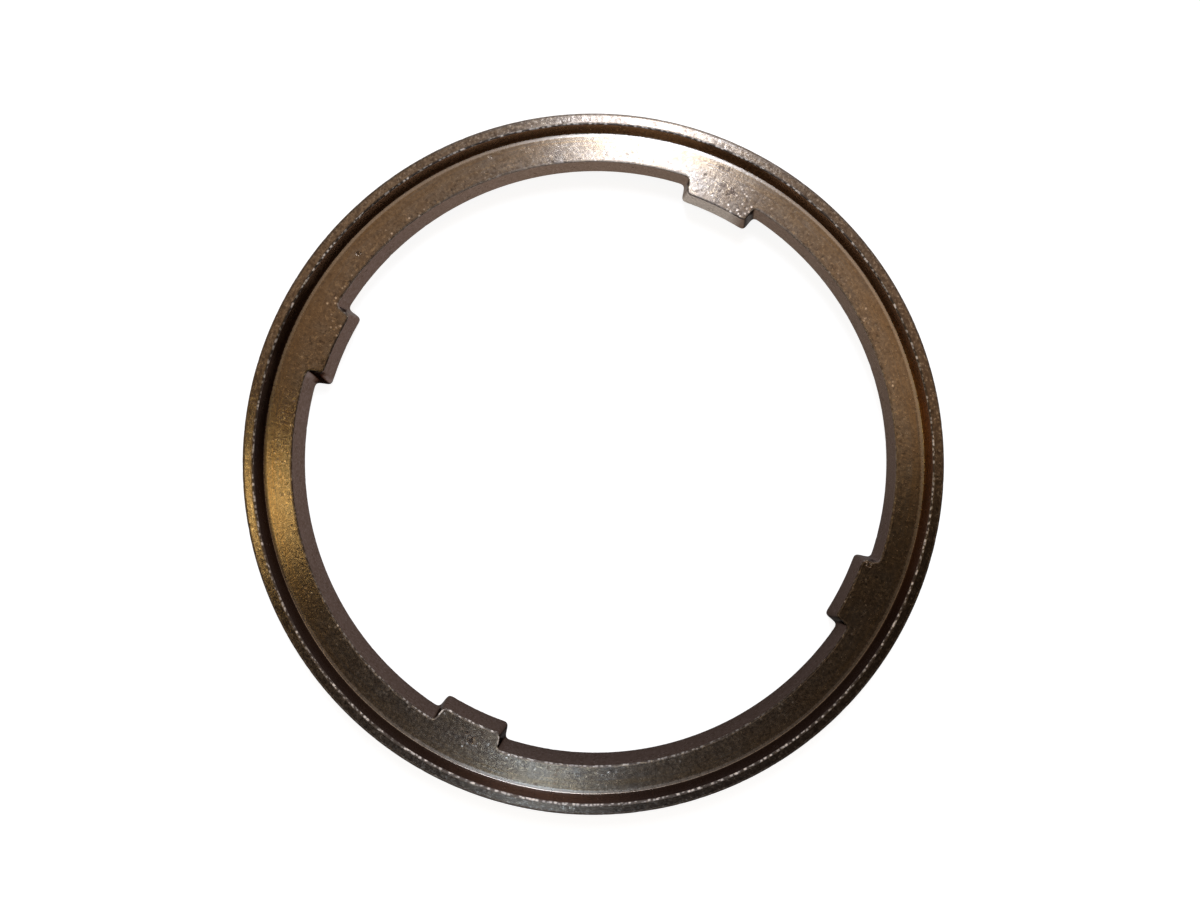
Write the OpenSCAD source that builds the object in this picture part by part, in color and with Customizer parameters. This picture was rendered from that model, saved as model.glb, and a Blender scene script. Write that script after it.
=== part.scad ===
// Synchronizer ring: one turned steel ring with a standing rim on its upper side,
// a friction cone outside, and four lugs in the bore that key it to its hub.
// Millimetres. The axis is Z and the base lies on Z = 0.

/* [Rim] */
// Outside diameter over the rim
rim_d = 100; // [80:1:140]
// Radial thickness of the rim at its top
rim_wall = 1.55; // [1.2:0.05:2.5]
// Height of the rim above the web face
rim_rise = 2.4; // [2.1:0.1:5]
// Slope of the rim's inner wall against the axis, in degrees
wall_slope = 18; // [0:1:20]
// Radius of the fillet at the foot of the rim
foot_fillet = 0.4; // [0.2:0.05:1]

/* [Web] */
// Thickness of the web, from the base to the web face
web_t = 7.1; // [5:0.1:12]
// Radial width of the web, from the bore to the outside of the rim
web_w = 6.4; // [5.5:0.1:9]

/* [Friction cone] */
// Height of the straight land at the large end
land_h = 2; // [1:0.1:3]
// Slope of the cone against the axis, in degrees
cone_angle = 6.5; // [3:0.5:9]

/* [Lugs] */
// Number of lugs around the bore
lug_n = 4; // [3:1:8]
// Distance that a lug stands into the bore
lug_reach = 2.4; // [1.6:0.1:4]
// Width of a lug where it leaves the bore, at the base
lug_w = 11.2; // [7:0.1:14]
// Slope of a lug flank against the centre line of the lug, in degrees
lug_slope = 13; // [0:1:20]
// Lean of a lug flank against the axis, in degrees, so that the lug narrows towards the web face
lug_lean = 4; // [1:1:8]
// Radius of the corners at a lug tip
tip_round = 0.6; // [0.2:0.1:0.8]
// Radius of the fillets at a lug root
root_fillet = 0.5; // [0.2:0.1:0.7]

/* [Edges] */
// Chamfer on the turned edges
edge_break = 0.3; // [0.1:0.05:0.4]

/* [Hidden] */
$fn = 180;
steel = [0.42, 0.37, 0.33];
// Straight steps that a small arc is drawn with
arc_steps = 6;
total_h = web_t + rim_rise;
rim_r = rim_d / 2;
wall_r = rim_r - rim_wall;
foot_r = wall_r - rim_rise * tan(wall_slope);
// Length of web and wall that the foot fillet takes up, from the corner
fillet_run = foot_fillet * tan(45 - wall_slope / 2);
bore_r = rim_r - web_w;
base_r = rim_r - (total_h - land_h) * tan(cone_angle);
tip_r = bore_r - lug_reach;
// Depth to which a lug is set into the web
bite = 2 * edge_break + 0.5;
// Depth below the base at which the plan of a lug is drawn, so that its flanks lean from there
lean_from = 1;

// Points of an arc about a centre, from one direction to another.
function arc(centre, r, from, to) =
    [for (i = [0:arc_steps]) let (a = from + (to - from) * i / arc_steps)
        centre + r * [cos(a), sin(a)]];

// Section of the turned ring, radius across and height up.
module ring_section() {
    polygon(concat(
        [
            [bore_r + edge_break, 0],
            [base_r - edge_break, 0],
            [base_r + edge_break * tan(cone_angle), edge_break],
            [rim_r, total_h - land_h],
            [rim_r, total_h - edge_break],
            [rim_r - edge_break, total_h],
            [wall_r + edge_break, total_h],
            [wall_r - edge_break * tan(wall_slope), total_h - edge_break]
        ],
        arc([foot_r - fillet_run, web_t + foot_fillet], foot_fillet, -wall_slope, -90),
        [
            [bore_r + edge_break, web_t],
            [bore_r, web_t - edge_break],
            [bore_r, edge_break]
        ]
    ));
}

// Band that the lugs fill, with its inner edges broken like the turned ones.
module lug_section() {
    polygon([
        [tip_r + edge_break / 2, 0],
        [bore_r + bite, 0],
        [bore_r + bite, web_t],
        [tip_r + edge_break / 2, web_t],
        [tip_r, web_t - edge_break / 2],
        [tip_r, edge_break / 2]
    ]);
}

// Point at distance r from the axis and at offset m from the axis along a flank's normal.
function on_flank(m, r) =
    let (t = sqrt(r * r - m * m))
    [t * cos(lug_slope) - m * sin(lug_slope), t * sin(lug_slope) + m * cos(lug_slope)];

// Plan of one lug, standing inwards along +X, with both of its flanks sloped.
module lug_plan() {
    half_w = lug_w / 2 + lean_from * tan(lug_lean);
    root_x = sqrt(bore_r * bore_r - half_w * half_w);
    flank = cos(lug_slope) * half_w - sin(lug_slope) * root_x;
    tip_at = on_flank(flank - tip_round, tip_r + tip_round);
    root_at = on_flank(flank + root_fillet, bore_r - root_fillet);
    tip_dir = atan2(tip_at[1], tip_at[0]);
    root_dir = atan2(root_at[1], root_at[0]);
    half = concat(
        arc(tip_at, tip_round, 180 + tip_dir, 90 + lug_slope),
        arc(root_at, root_fillet, lug_slope - 90, root_dir),
        [(bore_r + 2 * bite) * [cos(root_dir), sin(root_dir)]]
    );
    polygon(concat(half, [for (i = [len(half) - 1:-1:0]) [half[i][0], -half[i][1]]]));
}

// All lugs as straight blocks that lean to one side about their own centre lines.
module leaning_lugs(lean) {
    for (i = [0:lug_n - 1])
        rotate(i * 360 / lug_n) translate([0, 0, -lean_from]) rotate([lean, 0, 0])
            translate([0, 0, -lean_from]) linear_extrude(web_t + 4 * lean_from) lug_plan();
}

module synchronizer_ring() {
    color(steel) {
        rotate_extrude() ring_section();
        intersection() {
            rotate_extrude() lug_section();
            leaning_lugs(lug_lean);
            leaning_lugs(-lug_lean);
        }
    }
}

synchronizer_ring();
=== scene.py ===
"""A synchronizer ring lying on a pale table, seen from almost straight above."""
import math

import bpy
from mathutils import Matrix, Vector


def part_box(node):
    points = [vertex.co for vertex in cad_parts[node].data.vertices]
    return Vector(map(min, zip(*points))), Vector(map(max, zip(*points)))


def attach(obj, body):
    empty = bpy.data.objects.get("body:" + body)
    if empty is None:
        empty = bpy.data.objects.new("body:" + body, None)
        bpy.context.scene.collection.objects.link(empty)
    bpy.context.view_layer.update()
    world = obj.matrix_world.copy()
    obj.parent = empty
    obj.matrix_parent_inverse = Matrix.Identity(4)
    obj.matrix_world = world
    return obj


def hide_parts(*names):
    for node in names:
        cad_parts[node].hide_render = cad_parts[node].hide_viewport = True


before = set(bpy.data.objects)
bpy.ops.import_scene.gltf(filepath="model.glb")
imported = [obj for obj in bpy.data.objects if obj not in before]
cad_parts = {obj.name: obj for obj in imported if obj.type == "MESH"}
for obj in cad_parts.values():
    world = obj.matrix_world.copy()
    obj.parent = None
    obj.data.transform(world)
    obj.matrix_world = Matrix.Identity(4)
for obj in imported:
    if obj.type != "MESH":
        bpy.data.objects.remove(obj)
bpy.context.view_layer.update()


# The ring is one piece of steel, turned all round and then slotted, so that sloped lugs are left
# standing in its bore. Its section is drawn as corners, each with the radius it is rounded to, and is
# carried round a plan that follows the bore and the lugs on one side and the plain rim on the other.
mm = 0.001
ring_low, ring_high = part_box("synchronizer_ring")
rim_r = (ring_high[0] - ring_low[0]) / 2
total_h = ring_high[2] - ring_low[2]
rim_rise = 2.4 * mm
rim_wall = 1.55 * mm
wall_slope = math.radians(17.3)
web_w = 6.4 * mm
land_h = 2.0 * mm
cone_slope = math.radians(6.5)
edge_round = 0.3 * mm
wall_edge_round = 0.16 * mm
land_round = 0.12 * mm
bore_edge_round = 0.10 * mm
foot_fillet = 0.10 * mm

web_t = total_h - rim_rise
bore_r = rim_r - web_w
wall_r = rim_r - rim_wall
land_z = total_h - land_h
base_r = rim_r - land_z * math.tan(cone_slope)
foot_r = wall_r - rim_rise * math.tan(wall_slope)
web_out = foot_r - foot_fillet * math.tan(math.pi / 4 - wall_slope / 2)

# Between the corners of the section lie points that only hold its surface flat. The edge zone keeps the
# shape of the lugs, and the web steps (distance from the bore, share of its plan) lead over to the circle.
edge_zone = 0.36 * mm
web_steps = ((1.4 * mm, 0.62), (2.4 * mm, 0.28))
foot_zone = 0.75 * mm
foot_gap = 0.05 * mm
wall_band = 1.4 * mm
corner_gap = 0.12 * mm

# Radius, height, rounding, how far the corner follows the bore's plan, how much it is a worn edge, and
# whether the rim wall's grime and painted shade lie on it.
section_corners = [
    (bore_r, web_t, bore_edge_round, 1, 1, 0),
    (bore_r + edge_zone, web_t, 0, 1, 0, 0),
    *((bore_r + step, web_t, 0, share, 0, 0) for step, share in web_steps),
    (web_out - foot_zone, web_t, 0, 0, 0, 0),
    (web_out - foot_gap, web_t, 0, 0, 0, 0),
    (foot_r, web_t, foot_fillet, 0, 0, 1),
    (wall_r - wall_band * math.tan(wall_slope), total_h - wall_band, 0, 0, 0, 1),
    (wall_r - 2 * wall_edge_round * math.tan(wall_slope), total_h - 2 * wall_edge_round, 0, 0, 0, 1),
    (wall_r, total_h, wall_edge_round, 0, 1, 0),
    (wall_r + 2 * wall_edge_round, total_h, 0, 0, 0, 0),
    (rim_r - edge_round - corner_gap, total_h, 0, 0, 0, 0),
    (rim_r, total_h, edge_round, 0, 0.85, 0),
    (rim_r, total_h - edge_round - corner_gap, 0, 0, 0, 0),
    (rim_r, land_z, land_round, 0, 0.3, 0),
    (base_r + 2 * edge_round * math.tan(cone_slope), 2 * edge_round, 0, 0, 0, 0),
    (base_r, 0, edge_round, 0, 1, 0),
    (base_r - edge_round - corner_gap, 0, 0, 0, 0, 0),
    *((bore_r + step, 0, 0, share, 0, 0) for step, share in reversed(web_steps)),
    (bore_r + edge_zone, 0, 0, 1, 0, 0),
    (bore_r, 0, edge_round, 1, 1, 0),
    (bore_r, edge_round + corner_gap, 0, 1, 0, 0),
    (bore_r, web_t / 2, 0, 1, 0, 0),
    (bore_r, web_t - 2 * wall_edge_round, 0, 1, 0, 0),
]
section_mesh = bpy.data.meshes.new("ring_section")
section_mesh.from_pydata(
    [(r, 0, z) for r, z, *_ in section_corners],
    [(i, (i + 1) % len(section_corners)) for i in range(len(section_corners))],
    [],
)
for place_in_corner, name in enumerate(("rounding", "follows_bore", "edge", "grime_and_shade"), start=2):
    corner_values = section_mesh.attributes.new(name, "FLOAT", "POINT")
    corner_values.data.foreach_set("value", [float(corner[place_in_corner]) for corner in section_corners])
ring = bpy.data.objects.new("ring_steel_body", section_mesh)
bpy.context.scene.collection.objects.link(ring)


def add(tree, kind, inputs=(), **settings):
    """Places a node, gives it its settings, and links or sets each input by name or by number."""
    made = tree.nodes.new(kind)
    for setting, value in settings.items():
        setattr(made, setting, value)
    for key, value in dict(inputs).items():
        if isinstance(value, bpy.types.NodeSocket):
            tree.links.new(value, made.inputs[key])
        else:
            made.inputs[key].default_value = value
    return made


def reckon(tree, operation, *values):
    """One step of arithmetic, in a node tree of any kind."""
    return add(tree, "ShaderNodeMath", enumerate(values), operation=operation).outputs[0]


def product(tree, *values):
    """Values multiplied one after the other."""
    result = values[0]
    for value in values[1:]:
        result = reckon(tree, "MULTIPLY", result, value)
    return result


def aim(tree, operation, *values):
    """One step of vector arithmetic, in a node tree of any kind."""
    step = add(tree, "ShaderNodeVectorMath", enumerate(values), operation=operation)
    return step.outputs["Value" if operation in ("LENGTH", "DISTANCE", "DOT_PRODUCT") else "Vector"]


def spread(tree, value, low, high, at_low=0.0, at_high=1.0):
    """A value carried from one range to another, and held at the ends."""
    return add(tree, "ShaderNodeMapRange", {0: value, 1: low, 2: high, 3: at_low, 4: at_high}).outputs[0]


def heading(degrees):
    """The level direction at a bearing, counted from +X towards +Y."""
    return math.cos(math.radians(degrees)), math.sin(math.radians(degrees)), 0


sweep = bpy.data.node_groups.new("Section carried round a lugged bore", "GeometryNodeTree")
sweep.interface.new_socket("Geometry", in_out="INPUT", socket_type="NodeSocketGeometry")
sweep.interface.new_socket("Geometry", in_out="OUTPUT", socket_type="NodeSocketGeometry")
sweep_sizes = {
    "Bore Radius": ("NodeSocketFloat", bore_r),
    "Lug Count": ("NodeSocketInt", 4),
    "Lug Reach": ("NodeSocketFloat", 2.4 * mm),
    "Lug Height": ("NodeSocketFloat", web_t),
    "Lug Width at Base": ("NodeSocketFloat", 11.2 * mm),
    "Lug Width at Top": ("NodeSocketFloat", 10.2 * mm),
    "Lug Offset at Base": ("NodeSocketFloat", 0.90 * mm),
    "Lug Offset at Top": ("NodeSocketFloat", 0.40 * mm),
    "Wide Lug Growth": ("NodeSocketFloat", 0.90 * mm),
    "Lug Slope": ("NodeSocketFloat", math.radians(13)),
    "Edge Zone": ("NodeSocketFloat", edge_zone),
    "Columns": ("NodeSocketInt", 1480),
    "Corner Softening": ("NodeSocketInt", 8),
    "Nick Depth": ("NodeSocketFloat", 0.045 * mm),
    "Nick Size": ("NodeSocketFloat", 0.9 * mm),
    "Seed": ("NodeSocketFloat", 7.0),
    "Steel": ("NodeSocketMaterial", bpy.data.materials.new("turned_steel")),
}
sweep_sockets = {
    name: sweep.interface.new_socket(name, in_out="INPUT", socket_type=kind).identifier
    for name, (kind, _) in sweep_sizes.items()
}
given = add(sweep, "NodeGroupInput").outputs
index = add(sweep, "GeometryNodeInputIndex").outputs[0]
position = add(sweep, "GeometryNodeInputPosition").outputs[0]

# Plan: a fine loop of points at the bore's radius, drawn in to the tip circle between the flanks of each
# lug, then spaced evenly and softened, so that the corners of the lugs come out rounded. It is drawn for
# the base and for the top, because the lugs narrow upwards and two of them were cut a little off centre.
full_turn = 2 * math.pi
loop_points = 24000
least_opening = 1e-4
turn = reckon(sweep, "MULTIPLY", index, full_turn / loop_points)
pitch = reckon(sweep, "DIVIDE", full_turn, given["Lug Count"])
half_pitch = reckon(sweep, "DIVIDE", pitch, 2.0)
slope = reckon(sweep, "TANGENT", given["Lug Slope"])
tip_r = reckon(sweep, "SUBTRACT", given["Bore Radius"], given["Lug Reach"])


def on_circle(radius, angle):
    """The level point at a radius and an angle round the axis."""
    return add(sweep, "ShaderNodeCombineXYZ", {
        "X": product(sweep, radius, reckon(sweep, "COSINE", angle)),
        "Y": product(sweep, radius, reckon(sweep, "SINE", angle)),
    }).outputs[0]


def draw_plan(width, offset, growth):
    """The loop round bore and lugs at one height, for lugs so wide.

    The two lugs on X are cut so far off centre, towards -Y. The one on -X is also wider by the growth, and a
    third of the growth further off centre.
    """
    across = reckon(sweep, "COSINE", turn)
    grown = reckon(sweep, "MAXIMUM", reckon(sweep, "MULTIPLY", across, -1.0), 0.0)
    grown = product(sweep, reckon(sweep, "POWER", grown, 2.0), growth)
    width = reckon(sweep, "ADD", width, grown)
    offset = reckon(sweep, "ADD", offset, reckon(sweep, "DIVIDE", grown, 3.0))
    shift = product(sweep, reckon(sweep, "DIVIDE", offset, given["Bore Radius"]), across)
    from_lug = reckon(sweep, "ADD", reckon(sweep, "ADD", turn, shift), half_pitch)
    from_lug = reckon(sweep, "SUBTRACT", reckon(sweep, "FLOORED_MODULO", from_lug, pitch), half_pitch)
    opening = reckon(sweep, "SUBTRACT", slope, reckon(sweep, "SINE", reckon(sweep, "ABSOLUTE", from_lug)))
    flank = product(sweep, given["Bore Radius"], slope)
    flank = reckon(sweep, "SUBTRACT", flank, reckon(sweep, "MULTIPLY", width, 0.5))
    plan_r = reckon(sweep, "DIVIDE", flank, reckon(sweep, "MAXIMUM", opening, least_opening))
    plan_r = reckon(sweep, "MINIMUM", reckon(sweep, "MAXIMUM", plan_r, tip_r), given["Bore Radius"])
    loop = add(sweep, "GeometryNodeMeshLine", {"Count": loop_points}).outputs[0]
    loop = add(sweep, "GeometryNodeSetPosition", {
        "Geometry": loop, "Position": on_circle(plan_r, turn)}).outputs[0]
    plan = add(sweep, "GeometryNodeMeshToCurve", {"Mesh": loop}).outputs[0]
    plan = add(sweep, "GeometryNodeSetSplineCyclic", {0: plan, "Cyclic": True}).outputs[0]
    plan = add(sweep, "GeometryNodeResampleCurve", {"Curve": plan, "Count": given["Columns"]},
               mode="COUNT").outputs[0]
    soft = add(sweep, "GeometryNodeBlurAttribute", {"Iterations": given["Corner Softening"]},
               data_type="FLOAT_VECTOR")
    sweep.links.new(position, next(s for s in soft.inputs if s.name == "Value" and s.enabled))
    softened = next(s for s in soft.outputs if s.enabled)
    return add(sweep, "GeometryNodeSetPosition", {"Geometry": plan, "Position": softened}).outputs[0]


base_plan = draw_plan(given["Lug Width at Base"], given["Lug Offset at Base"], given["Wide Lug Growth"])
top_plan = draw_plan(given["Lug Width at Top"], given["Lug Offset at Top"], 0.0)


def stored(name, data_type="FLOAT"):
    """What the section or the body carries under a name."""
    return add(sweep, "GeometryNodeInputNamedAttribute", {"Name": name}, data_type=data_type).outputs[0]


# Section: each corner of the drawn outline is rounded by its own radius.
round_steps = 4
section = add(sweep, "GeometryNodeMeshToCurve", {"Mesh": given["Geometry"]}).outputs[0]
section = add(sweep, "GeometryNodeFilletCurve", {
    "Curve": section, "Count": round_steps, "Radius": stored("rounding")}, mode="POLY").outputs[0]
section_size = add(sweep, "GeometryNodeAttributeDomainSize", {0: section}, component="CURVE")
section_points = section_size.outputs["Point Count"]

# Sweep: a grid with one column for each point of the plan and one row for each point of the section.
# The last column and row repeat the first, so that the pattern coordinates run through to their ends.
columns = reckon(sweep, "ADD", given["Columns"], 1.0)
rows = reckon(sweep, "ADD", section_points, 1.0)
grid = add(sweep, "GeometryNodeMeshGrid", {"Vertices X": columns, "Vertices Y": rows}).outputs[0]
column = reckon(sweep, "FLOOR", reckon(sweep, "DIVIDE", reckon(sweep, "ADD", index, 0.5), rows))
row = reckon(sweep, "SUBTRACT", index, product(sweep, column, rows))
plan_index = reckon(sweep, "FLOORED_MODULO", column, given["Columns"])
section_index = reckon(sweep, "FLOORED_MODULO", row, section_points)


def pick(curve, value, at, data_type="FLOAT"):
    """The value that one point of a curve has, for every point of the grid."""
    sample = add(sweep, "GeometryNodeSampleIndex", {"Geometry": curve, "Value": value, "Index": at},
                 data_type=data_type, domain="POINT")
    return sample.outputs[0]


def stretch(vector, factor):
    """A vector made longer by a factor."""
    step = add(sweep, "ShaderNodeVectorMath", {0: vector, "Scale": factor}, operation="SCALE")
    return step.outputs["Vector"]


def pass_over(share, one, other):
    """A vector taken between two others by a share."""
    return add(sweep, "ShaderNodeMix", {0: share, 4: one, 5: other}, data_type="VECTOR").outputs[1]


in_section = pick(section, position, section_index, "FLOAT_VECTOR")
in_section = add(sweep, "ShaderNodeSeparateXYZ", {0: in_section}).outputs
height_share = reckon(sweep, "DIVIDE", in_section["Z"], given["Lug Height"])


def at_height(value):
    """A vector of the plan, taken between the base and the top by the height in the section."""
    at_base = pick(base_plan, value, plan_index, "FLOAT_VECTOR")
    at_top = pick(top_plan, value, plan_index, "FLOAT_VECTOR")
    return pass_over(height_share, at_base, at_top)


follows = pick(section, stored("follows_bore"), section_index)
edge = pick(section, stored("edge"), section_index)
grime_and_shade = pick(section, stored("grime_and_shade"), section_index)
run = pick(section, add(sweep, "GeometryNodeSplineParameter").outputs["Factor"], section_index)
on_bore = reckon(sweep, "GREATER_THAN", follows, 0.99)

# By the bore a point is set back from the plan at right angles to it. Further out, its radius and its
# bearing pass over to those of a plain circle with evenly spaced columns.
on_plan = at_height(position)
plan_run = at_height(add(sweep, "GeometryNodeInputTangent").outputs[0])
outward = aim(sweep, "NORMALIZE", aim(sweep, "CROSS_PRODUCT", plan_run, (0, 0, 1)))
set_back = reckon(sweep, "SUBTRACT", in_section["X"], given["Bore Radius"])
set_back = reckon(sweep, "MINIMUM", set_back, given["Edge Zone"])
by_bore = aim(sweep, "ADD", on_plan, stretch(outward, set_back))
zone_end = aim(sweep, "ADD", on_plan, stretch(outward, given["Edge Zone"]))
zone_end = add(sweep, "ShaderNodeSeparateXYZ", {0: zone_end}).outputs
round_share = reckon(sweep, "DIVIDE", column, given["Columns"])
even_turn = product(sweep, round_share, full_turn)
lean = reckon(sweep, "SUBTRACT", reckon(sweep, "ARCTAN2", zone_end["Y"], zone_end["X"]), even_turn)
lean = reckon(sweep, "FLOORED_MODULO", reckon(sweep, "ADD", lean, math.pi), full_turn)
lean = reckon(sweep, "SUBTRACT", lean, math.pi)
away = reckon(sweep, "SUBTRACT", 1.0, follows)
lean_left = reckon(sweep, "SUBTRACT", 1.0, reckon(sweep, "POWER", away, 3.0))
web_turn = reckon(sweep, "ADD", even_turn, product(sweep, lean, lean_left))
web_r = reckon(sweep, "ADD", product(sweep, aim(sweep, "LENGTH", by_bore), follows),
               product(sweep, in_section["X"], away))
placed = pass_over(on_bore, on_circle(web_r, web_turn), by_bore)
lifted = add(sweep, "ShaderNodeCombineXYZ", {"Z": in_section["Z"]}).outputs[0]
placed = aim(sweep, "ADD", placed, lifted)
body = add(sweep, "GeometryNodeSetPosition", {"Geometry": grid, "Position": placed}).outputs[0]

# Painted shade lies on the flanks of the lugs, most on those that look away from the lit side.
lit_bearing = 135
squareness = reckon(sweep, "ABSOLUTE", aim(sweep, "DOT_PRODUCT", outward, aim(sweep, "NORMALIZE", on_plan)))
flank_shade_amount = product(sweep, reckon(sweep, "SUBTRACT", 1.0, squareness), 1.5)
flank_shade_amount = reckon(sweep, "MINIMUM", flank_shade_amount, 1.0)
shade_side = spread(sweep, aim(sweep, "DOT_PRODUCT", outward, heading(lit_bearing)), -0.3, 0.4, 0.15, 1.0)
flank_shade_amount = product(sweep, flank_shade_amount, on_bore, shade_side)


def store(geometry, name, value, data_type="FLOAT", domain="POINT"):
    """A body that carries a value under a name."""
    return add(sweep, "GeometryNodeStoreNamedAttribute", {"Geometry": geometry, "Name": name, "Value": value},
               data_type=data_type, domain=domain).outputs[0]


weld_distance = 0.0005 * mm
last_row = reckon(sweep, "GREATER_THAN", row, reckon(sweep, "SUBTRACT", section_points, 0.5))
unrolled = add(sweep, "ShaderNodeCombineXYZ", {
    "X": round_share, "Y": reckon(sweep, "MAXIMUM", run, last_row)}).outputs[0]
body = store(body, "unrolled", unrolled, "FLOAT_VECTOR")
for name, value in (("edge", edge), ("grime_and_shade", grime_and_shade), ("flank", flank_shade_amount)):
    body = store(body, name, value)
body = store(body, "UVMap", stored("unrolled", "FLOAT_VECTOR"), "FLOAT2", "CORNER")
body = add(sweep, "GeometryNodeMergeByDistance", {"Geometry": body, "Distance": weld_distance}).outputs[0]
body = add(sweep, "GeometryNodeFlipFaces", {"Mesh": body}).outputs[0]

# Wear: the broken edges are nicked here and there, always inwards.
nicks_per_metre = reckon(sweep, "DIVIDE", 1.0, given["Nick Size"])
nicks = add(sweep, "ShaderNodeTexNoise", {
    "Vector": position, "W": given["Seed"], "Scale": nicks_per_metre, "Detail": 3.0,
}, noise_dimensions="4D").outputs[0]
nicks = spread(sweep, nicks, 0.56, 0.78, 0.0, -1.0)
nicked_edge = reckon(sweep, "GREATER_THAN", stored("edge"), 0.8)
nicks = product(sweep, nicks, nicked_edge, given["Nick Depth"])
facing = add(sweep, "GeometryNodeInputNormal").outputs[0]
body = add(sweep, "GeometryNodeSetPosition", {"Geometry": body, "Offset": stretch(facing, nicks)}).outputs[0]
steep = add(sweep, "ShaderNodeSeparateXYZ", {0: facing}).outputs["Z"]
steep = reckon(sweep, "SUBTRACT", 1.0, reckon(sweep, "ABSOLUTE", steep))
body = store(body, "upright", steep)
body = add(sweep, "GeometryNodeSetShadeSmooth", {"Geometry": body}).outputs[0]
body = add(sweep, "GeometryNodeRealizeInstances", {"Geometry": body}).outputs[0]
body = add(sweep, "GeometryNodeSetMaterial", {"Geometry": body, "Material": given["Steel"]}).outputs[0]
add(sweep, "NodeGroupOutput", {0: body})

ring_sweep = ring.modifiers.new("Section carried round a lugged bore", "NODES")
ring_sweep.node_group = sweep
for name, (_, value) in sweep_sizes.items():
    ring_sweep[sweep_sockets[name]] = value
swept = bpy.data.meshes.new_from_object(ring.evaluated_get(bpy.context.evaluated_depsgraph_get()))
ring.modifiers.remove(ring_sweep)
ring.data = swept

# Steel: a thin brown film over grey metal, turned in fine rings that stretch every highlight across the
# faces, grainy and pitted where other parts have rubbed on it, and worn to bright dots along some edges.
# Painted light and shade lie in its colour too: shade on the walls, edges and lug flanks and on sides
# away from the lamps, paler walls and brighter lines where light falls, and highlights on the bore's far
# edge.
steel = bpy.data.materials["turned_steel"]
steel.use_nodes = True
finish = steel.node_tree
finish.nodes.clear()
here = add(finish, "ShaderNodeTexCoord").outputs["Object"]


def carried(name):
    """What the ring's mesh carries under a name."""
    return add(finish, "ShaderNodeAttribute", attribute_name=name).outputs["Fac"]


def speckle(per_metre, detail=4.0, roughness=0.6, vector=None):
    """Noise over the steel, from 0 to 1, with so many grains to the metre."""
    noise = add(finish, "ShaderNodeTexNoise", {
        "Vector": vector or here, "Scale": per_metre, "Detail": detail, "Roughness": roughness})
    return noise.outputs[0]


def cells(per_metre):
    """Distance from the middle of scattered cells, so many to the metre; 0 in the middle."""
    return add(finish, "ShaderNodeTexVoronoi", {"Vector": here, "Scale": per_metre}).outputs["Distance"]


def between(value, low, high, at_low=0.0, at_high=1.0):
    """A mask made from a value of the steel."""
    return spread(finish, value, low, high, at_low, at_high)


def both(*masks):
    """Where all of the masks are."""
    return product(finish, *masks)


def either(one, other):
    """Where one mask or the other is."""
    return reckon(finish, "MAXIMUM", one, other)


def tint(amount, one, other):
    """Two colours mixed by a mask."""
    return add(finish, "ShaderNodeMix", {0: amount, 6: one, 7: other}, data_type="RGBA").outputs[2]


film_brown = (0.275, 0.215, 0.160, 1)
film_grey = (0.280, 0.250, 0.222, 1)
film_dark_and_shade = (0.090, 0.068, 0.055, 1)
grime_in_shade = (0.070, 0.049, 0.042, 1)
wall_film_shaded = (0.212, 0.168, 0.157, 1)
wall_film_lit = (0.300, 0.230, 0.190, 1)
grime_in_light = (0.450, 0.230, 0.115, 1)
film_shade = (0.030, 0.022, 0.018, 1)
film_fleck = (0.460, 0.370, 0.265, 1)
film_gold = (0.330, 0.235, 0.135, 1)
bare_steel = (0.560, 0.505, 0.450, 1)
bright_steel = (0.92, 0.84, 0.76, 1)
grazing_tint = (0.30, 0.27, 0.25, 1)

# Where a spot lies: round the ring, out from the bore, out from the foot of the rim, up from the web and
# down from the rim's top.
place = add(finish, "ShaderNodeSeparateXYZ", {0: here}).outputs
level_place = add(finish, "ShaderNodeCombineXYZ", {"X": place["X"], "Y": place["Y"]}).outputs[0]
radius = aim(finish, "LENGTH", level_place)
bearing = aim(finish, "NORMALIZE", level_place)
bearing_parts = add(finish, "ShaderNodeSeparateXYZ", {0: bearing}).outputs
from_bore = reckon(finish, "SUBTRACT", radius, bore_r)
from_foot = reckon(finish, "SUBTRACT", radius, web_out)
above_web = reckon(finish, "SUBTRACT", place["Z"], web_t)
below_top = reckon(finish, "SUBTRACT", total_h, place["Z"])
edge_mask = carried("edge")
upright = carried("upright")

# Sides of the ring where light and shade are painted into the steel's colour, each given by its bearing.
window_side_bearing = 100.4
wall_light_bearing = 85.4
rim_shade_bearing = -14.7
foot_shadow_bearing = 213.0
to_window_side = aim(finish, "DOT_PRODUCT", bearing, heading(window_side_bearing))
window_side = between(to_window_side, -0.2, 1.0)
far_highlight_side = between(to_window_side, -0.95, -0.60, 1.0, 0.0)
foot_line_light_side = either(between(to_window_side, -0.1, 0.5, 0.45, 1.0), between(to_window_side, -0.995, -0.93, 1.0, 0.0))
to_wall_light = aim(finish, "DOT_PRODUCT", bearing, heading(wall_light_bearing))
wall_light_side = between(to_wall_light, 0.30, 0.75, 0.0, 0.9)
to_rim_shade = aim(finish, "DOT_PRODUCT", bearing, heading(rim_shade_bearing))
rim_shade_side = between(to_rim_shade, -0.4, 0.5, 0.0, 0.70)
to_foot_shadow = aim(finish, "DOT_PRODUCT", bearing, heading(foot_shadow_bearing))
foot_shadow_side = between(to_foot_shadow, 0.92, 0.985, 0.0, 0.75)

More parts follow.
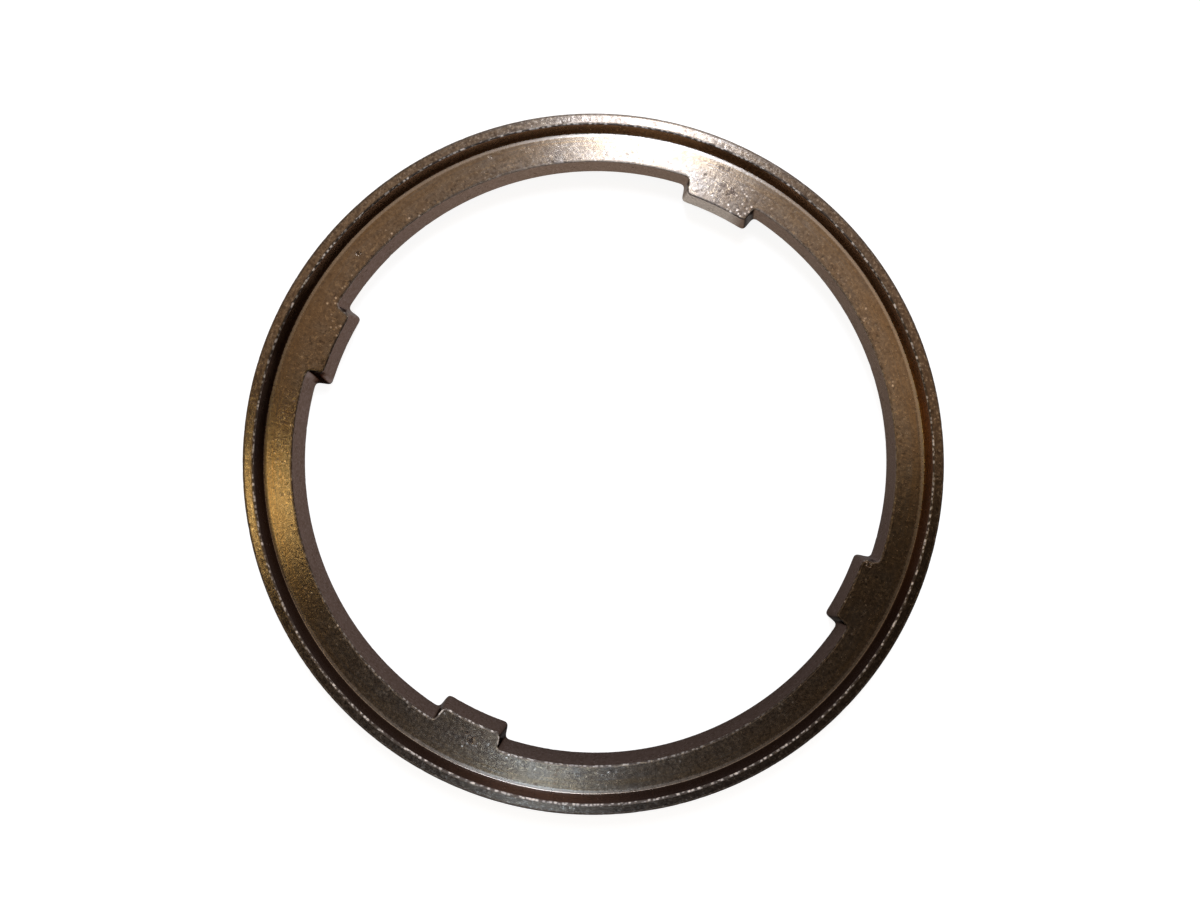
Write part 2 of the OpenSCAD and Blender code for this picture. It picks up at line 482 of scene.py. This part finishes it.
# Faces and edges: the walls, the part of the web that is rubbed, the top of the rim and its inner edge,
# the edge of the bore and of the lugs, the line where the web runs out at the rim, and one lug tip that is
# partly worn bare and partly a painted reflection of the white table.
wall_mask = between(upright, 0.25, 0.60)
rubbed = between(from_bore, 0.8 * mm, 2.4 * mm, 1.0, 0.35)
worn_face = both(rubbed, between(upright, 0.05, 0.20, 1.0, 0.0))
rim_top = both(between(below_top, 0.1 * mm, 0.3 * mm, 1.0, 0.0), between(edge_mask, 0.2, 0.8, 1.0, 0.0))
rim_inner = both(between(below_top, 0.6 * mm, 0.9 * mm, 1.0, 0.0),
                 between(radius, wall_r + 0.30 * mm, wall_r + 0.45 * mm, 1.0, 0.0))
bore_edge = between(from_bore, 0.5 * mm, 0.9 * mm, 1.0, 0.0)
lug_edge = between(from_bore, -1.0 * mm, -0.6 * mm, 1.0, 0.0)
run_out = both(between(from_foot, -0.52 * mm, -0.28 * mm),
               between(from_foot, -0.05 * mm, 0.15 * mm, 1.0, 0.0),
               between(above_web, -0.5 * mm, 0.0))
worn_and_reflecting_tip = both(between(bearing_parts["Y"], 0.90, 0.95),
                between(bearing_parts["X"], 0.050, 0.105, 1.0, 0.0),
                between(from_bore, -2.2 * mm, -1.8 * mm, 0.9, 0.0), wall_mask)

# Patterns: the turning lines, the grain and mottle of the film, and the pits in it.
turning_lines = 5200.0
turning_breaks = 5.0
turned = add(finish, "ShaderNodeCombineXYZ", {
    "X": both(bearing_parts["X"], turning_breaks),
    "Y": both(bearing_parts["Y"], turning_breaks),
    "Z": both(radius, turning_lines),
}).outputs[0]
turning = add(finish, "ShaderNodeTexNoise", {
    "Vector": turned, "W": both(place["Z"], turning_lines), "Scale": 1.0, "Detail": 2.0, "Roughness": 0.6,
}, noise_dimensions="4D").outputs[0]
grain = speckle(2600.0, 3.0, 0.65)
mottle = reckon(finish, "ADD", both(speckle(80.0), 0.5), both(speckle(520.0), 0.5))
mottle = between(mottle, 0.40, 0.60)
golden = both(between(turning, 0.36, 0.62), between(from_bore, 0.9 * mm, 2.9 * mm, 0.15, 0.8))
pits = both(between(cells(820.0), 0.12, 0.30, 1.0, 0.0),
            between(speckle(260.0, 3.0, 0.7), 0.50, 0.64), rubbed)

# Bruises on the web, each with its bearing in degrees and its radius and size in millimetres.
web_bruises = (
    (91.9, 46.5, 0.55), (90.8, 46.6, 0.40), (89.2, 46.2, 0.35), (88.4, 43.9, 0.75), (90.3, 44.3, 0.65),
    (134.0, 46.7, 0.30), (163.6, 45.6, 0.40), (271.4, 43.7, 0.60), (5.4, 42.3, 0.55), (270.2, 42.9, 0.35),
)
raggedness = 3.6
ragged = reckon(finish, "SUBTRACT", speckle(2400.0, 3.0, 0.7), 0.5)
bruises = 0.0
for bruise_bearing, bruise_r, size in web_bruises:
    x, y, _ = heading(bruise_bearing)
    spot = aim(finish, "DISTANCE", here, (bruise_r * mm * x, bruise_r * mm * y, web_t))
    spot = reckon(finish, "ADD", spot, both(ragged, raggedness * size * mm))
    bruises = either(bruises, between(spot, 0.50 * size * mm, 0.80 * size * mm, 0.9, 0.0))
dents = either(pits, bruises)

# Bright and dark specks: worn dots along the rim's inner edge, painted highlights along the far edge of
# the bore, flecks, hollows and glints on the rubbed web, grain and glints on top of the rim.
elsewhere = aim(finish, "ADD", here, (0.11, 0.07, 0.05))
dots = both(between(cells(1750.0), 0.30, 0.52, 1.0, 0.05), between(speckle(330.0), 0.36, 0.56, 0.45, 1.0))
edge_dots_and_highlights = both(far_highlight_side, between(lug_edge, 0.0, 1.0, 0.45, 0.9), bore_edge)
edge_dots_and_highlights = both(dots, between(either(rim_inner, edge_dots_and_highlights), 0.0, 1.0, 0.12, 1.0), between(edge_mask, 0.45, 0.90))
flecks = both(between(speckle(1800.0, 2.0, 0.7), 0.56, 0.68, 0.0, 0.75), worn_face)
hollows = both(between(speckle(1400.0, 3.0, 0.75, elsewhere), 0.34, 0.45, 0.85, 0.0), worn_face)
glints = both(between(cells(1150.0), 0.10, 0.26, 0.9, 0.0), between(speckle(210.0, 3.0, 0.7), 0.50, 0.60),
              worn_face, between(from_bore, 1.4 * mm, 2.6 * mm, 1.0, 0.0))
rim_grain = both(between(speckle(1300.0, 4.0, 0.75), 0.36, 0.56, 0.75, 0.0), rim_top)
rim_glints = both(between(speckle(1900.0, 2.0, 0.7), 0.56, 0.70, 0.0, 0.6), rim_top)

# Dirt and painted shade: grime with painted shade on the rim's inner wall, painted shade on the edges of
# the bore and the lugs, between the bright dots, and on the flanks of the lugs.
grime_and_shade_on_wall = both(carried("grime_and_shade"), between(upright, 0.08, 0.25))
shaded_edge = either(lug_edge, between(window_side, 0.0, 0.4, 1.0, 0.0))
shaded_edge = both(shaded_edge, bore_edge, between(edge_mask, 0.4, 0.9, 0.0, 0.85))
shaded_rim_edge = both(rim_inner, between(edge_mask, 0.45, 0.90, 0.0, 0.75))
shaded_flank = both(between(carried("flank"), 0.35, 0.75), between(upright, 0.30, 0.55))

# Colours are laid over each other, from the film up to the dirt and the painted light and shade.
film = tint(mottle, film_grey, film_brown)
for amount, colour in (
        (golden, film_gold),
        (both(rim_top, 0.45), film_grey),
        # painted shade on the rim's top and upper wall on the side away from the light
        (both(rim_shade_side, between(above_web, 1.5 * mm, 2.0 * mm)), film_dark_and_shade),
        # the walls darker as painted shade, and paler as painted light on the lit side
        (wall_mask, tint(wall_light_side, wall_film_shaded, wall_film_lit)),
        # one lug tip in bright steel: partly wear, partly a painted reflection of the white table
        (worn_and_reflecting_tip, bright_steel),
        # painted shade on the edges, less on the bore's edge
        (both(edge_mask, between(bore_edge, 0.0, 1.0, 0.8, 0.3)), film_dark_and_shade),
        # painted shade on the lugs' edges, on the bore's edge away from the window, and on the rim's inner
        # edge
        (shaded_edge, film_shade),
        (shaded_rim_edge, film_shade),
        (between(grain, 0.38, 0.62, 0.5, 0.0), film_dark_and_shade),
        (either(dents, rim_grain), film_dark_and_shade),
        (hollows, film_dark_and_shade),
        (flecks, film_fleck),
        (rim_glints, bare_steel),
        (glints, bright_steel),
        # the run-out line in bare steel, brightened as painted light on the lit side and under the narrow
        # window's highlight
        (both(run_out, foot_line_light_side), bare_steel),
        # painted shadow of the rim on the foot, on the warm lamp's side
        (both(run_out, foot_shadow_side), film_dark_and_shade),
        # worn bright dots along the edges, and painted highlights on the far edge of the bore
        (edge_dots_and_highlights, bright_steel),
        # grime with painted shade on the rim's inner wall, rust-coloured towards the window as painted light
        (grime_and_shade_on_wall, tint(window_side, grime_in_shade, grime_in_light)),
        # painted shade on the flanks of the lugs
        (shaded_flank, film_shade)):
    film = tint(amount, film, colour)

# Roughness: that of the grain, and what pits, edges and bright dots add to it or bare steel takes away.
dull = between(grain, 0.3, 0.7, 0.235, 0.275)
for mask, change in ((pits, 0.2), (run_out, 0.03), (worn_and_reflecting_tip, -0.1), (edge_mask, 0.2), (edge_dots_and_highlights, 0.35)):
    dull = reckon(finish, "ADD", dull, both(mask, change))

# Relief: grain and turning lines stand up, and pits and bruises are sunk. The lay of the turning runs
# round the axis, and a quarter turn sets the long way of the highlights across it.
relief_depth = 0.03 * mm
highlight_stretch = 0.873
quarter_turn = 0.25
height = reckon(finish, "ADD", both(grain, 0.8), both(turning, 0.35))
height = reckon(finish, "SUBTRACT", height, dents)
relief = add(finish, "ShaderNodeBump", {
    "Height": height, "Strength": 0.4, "Distance": relief_depth}).outputs[0]
lay = add(finish, "ShaderNodeTangent", direction_type="RADIAL", axis="Z").outputs[0]
surface = add(finish, "ShaderNodeBsdfPrincipled", {
    "Base Color": film, "Metallic": 1.0, "Roughness": dull, "Normal": relief, "Tangent": lay,
    "Anisotropic": highlight_stretch, "Anisotropic Rotation": quarter_turn, "Specular Tint": grazing_tint,
}).outputs[0]
add(finish, "ShaderNodeOutputMaterial", {"Surface": surface})

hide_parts("synchronizer_ring")
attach(ring, "root")


# The table is a plain white sheet, which the ring lies on with its base. It reads as white to the eye and
# as brighter on the lit side in reflections, and it keeps a part of its real shade, so that the ring's
# soft shadow stays on it.
table_half = 1.5
table_shade = (0.32, 0.32, 0.32, 1)
table_white = 0.89
mirror_reach = 0.04
mirror_dim = 0.22
mirror_bright = 1.4
table_corners = [(x * table_half, y * table_half, ring_low[2])
                 for x, y in ((-1, -1), (1, -1), (1, 1), (-1, 1))]
table_mesh = bpy.data.meshes.new("table_sheet")
table_mesh.from_pydata(table_corners, [], [(0, 1, 2, 3)])
table = bpy.data.objects.new("table_sheet", table_mesh)
bpy.context.scene.collection.objects.link(table)
paper = bpy.data.materials.new("white_paper")
paper.use_nodes = True
paper_nodes = paper.node_tree
paper_nodes.nodes.clear()
ray = add(paper_nodes, "ShaderNodeLightPath").outputs
on_table = add(paper_nodes, "ShaderNodeTexCoord").outputs["Object"]
to_light = aim(paper_nodes, "DOT_PRODUCT", on_table, heading(lit_bearing))
mirrored = spread(paper_nodes, to_light, -mirror_reach, mirror_reach, mirror_dim, mirror_bright)
mirrored = product(paper_nodes, mirrored, ray["Is Glossy Ray"])
seen = reckon(paper_nodes, "MAXIMUM", ray["Is Camera Ray"], mirrored)
seen = reckon(paper_nodes, "MAXIMUM", seen, ray["Is Transmission Ray"])
lit = add(paper_nodes, "ShaderNodeBsdfDiffuse", {"Color": table_shade}).outputs[0]
white = add(paper_nodes, "ShaderNodeEmission", {
    "Color": (1, 1, 1, 1), "Strength": product(paper_nodes, seen, table_white)}).outputs[0]
shade = add(paper_nodes, "ShaderNodeAddShader", {0: lit, 1: white}).outputs[0]
add(paper_nodes, "ShaderNodeOutputMaterial", {"Surface": shade})
table_mesh.materials.append(paper)


# The studio has a broad window towards the top of the picture, a small warm lamp to the left and a narrow
# cool window towards the bottom, all hung equally high, and a dim room that is lighter on the broad
# window's side and white to the eye. Directions are turned from the picture to the ring's own axes.
picture_turn = math.radians(25.35)
lamp_elevation = math.radians(62)
lamp_distance = 0.60


def in_ring_axes(x, y, z):
    """A place given across, up and out of the picture, in metres, turned to the ring's axes."""
    return Matrix.Rotation(picture_turn, 3, "Z") @ Vector((x, y, z))


def hang_light(name, degrees, width, tall, radiance, colour):
    """A light panel that faces the ring from a bearing in the picture; radiance 1 is white paper."""
    lamp = bpy.data.lights.new(name, "AREA")
    lamp.shape = "RECTANGLE"
    lamp.size = width
    lamp.size_y = tall
    lamp.color = colour
    lamp.energy = radiance * math.pi * width * tall
    hung = bpy.data.objects.new(name, lamp)
    x, y, _ = heading(degrees)
    level = math.cos(lamp_elevation)
    hung_at = in_ring_axes(x * level, y * level, math.sin(lamp_elevation)) * lamp_distance
    hung.matrix_world = Matrix.Translation(hung_at) @ hung_at.to_track_quat("Z", "Y").to_matrix().to_4x4()
    bpy.context.scene.collection.objects.link(hung)


hang_light("window", 84, 0.105, 0.168, 29.0, (0.90, 1.0, 1.18))
hang_light("warm_lamp", 190.5, 0.060, 0.12, 8.6, (1.0, 0.71, 0.27))
hang_light("narrow_window", 256.5, 0.030, 0.16, 6.6, (0.80, 1.04, 1.26))

# Room: dark on the side away from the broad window. On its side the walls are warm overhead and paler
# towards the window, and dimmer near the horizon, straight above the ring and to the left.
wall_dark = (0.004, 0.003, 0.002, 1)
wall_warm = (1.24, 0.87, 0.57, 1)
wall_pale = (1.15, 1.05, 0.97, 1)
lit_wall_bearing = 85
room = bpy.data.worlds.new("dim_room")
bpy.context.scene.world = room
room.use_nodes = True
room_nodes = room.node_tree
room_nodes.nodes.clear()


def wall_tint(amount, one, other):
    """Two colours of the room mixed by a share."""
    return add(room_nodes, "ShaderNodeMix", {0: amount, 6: one, 7: other}, data_type="RGBA").outputs[2]


looking = add(room_nodes, "ShaderNodeTexCoord").outputs["Generated"]
up = add(room_nodes, "ShaderNodeSeparateXYZ", {0: looking}).outputs["Z"]
to_right = aim(room_nodes, "DOT_PRODUCT", looking, in_ring_axes(1, 0, 0))
to_window = aim(room_nodes, "DOT_PRODUCT", looking, in_ring_axes(*heading(lit_wall_bearing)))
lightness = product(
    room_nodes,
    spread(room_nodes, to_window, -0.035, 0.05),
    spread(room_nodes, up, 0.45, 0.78, 0.25, 1.0),
    spread(room_nodes, up, 0.975, 0.997, 1.0, 0.1),
    spread(room_nodes, to_right, -0.42, 0.25, 0.62, 1.0),
)
lit_wall = wall_tint(spread(room_nodes, to_window, 0.16, 0.38), wall_warm, wall_pale)
walls = wall_tint(lightness, wall_dark, lit_wall)
dome = add(room_nodes, "ShaderNodeBackground", {"Color": walls, "Strength": 1.0}).outputs[0]
backdrop = add(room_nodes, "ShaderNodeBackground", {"Color": (1, 1, 1, 1), "Strength": 1.0}).outputs[0]
to_eye = add(room_nodes, "ShaderNodeLightPath").outputs["Is Camera Ray"]
sight = add(room_nodes, "ShaderNodeMixShader", {0: to_eye, 1: dome, 2: backdrop}).outputs[0]
add(room_nodes, "ShaderNodeOutputWorld", {"Surface": sight})
bpy.context.scene.view_settings.view_transform = "Standard"


# The camera hangs close over the ring, a little off its axis towards the upper right of the picture, and
# looks straight down. Its frame is shifted, by pixels of a picture so many pixels wide.
camera_right = 6.70 * mm
camera_up = 6.73 * mm
camera_over_rim = 170.81 * mm
picture_w = 1200
shift_right = -40.3
shift_up = -33.0
camera_data = bpy.data.cameras.new("camera")
camera_data.sensor_fit = "HORIZONTAL"
camera_data.sensor_width = 36.0
camera_data.lens = 36.0
camera_data.clip_start = 0.01
camera_data.shift_x = shift_right / picture_w
camera_data.shift_y = shift_up / picture_w
camera = bpy.data.objects.new("camera", camera_data)
bpy.context.scene.collection.objects.link(camera)
bpy.context.scene.camera = camera
camera.location = in_ring_axes(camera_right, camera_up, total_h + camera_over_rim)
camera.rotation_euler = (0, 0, picture_turn)
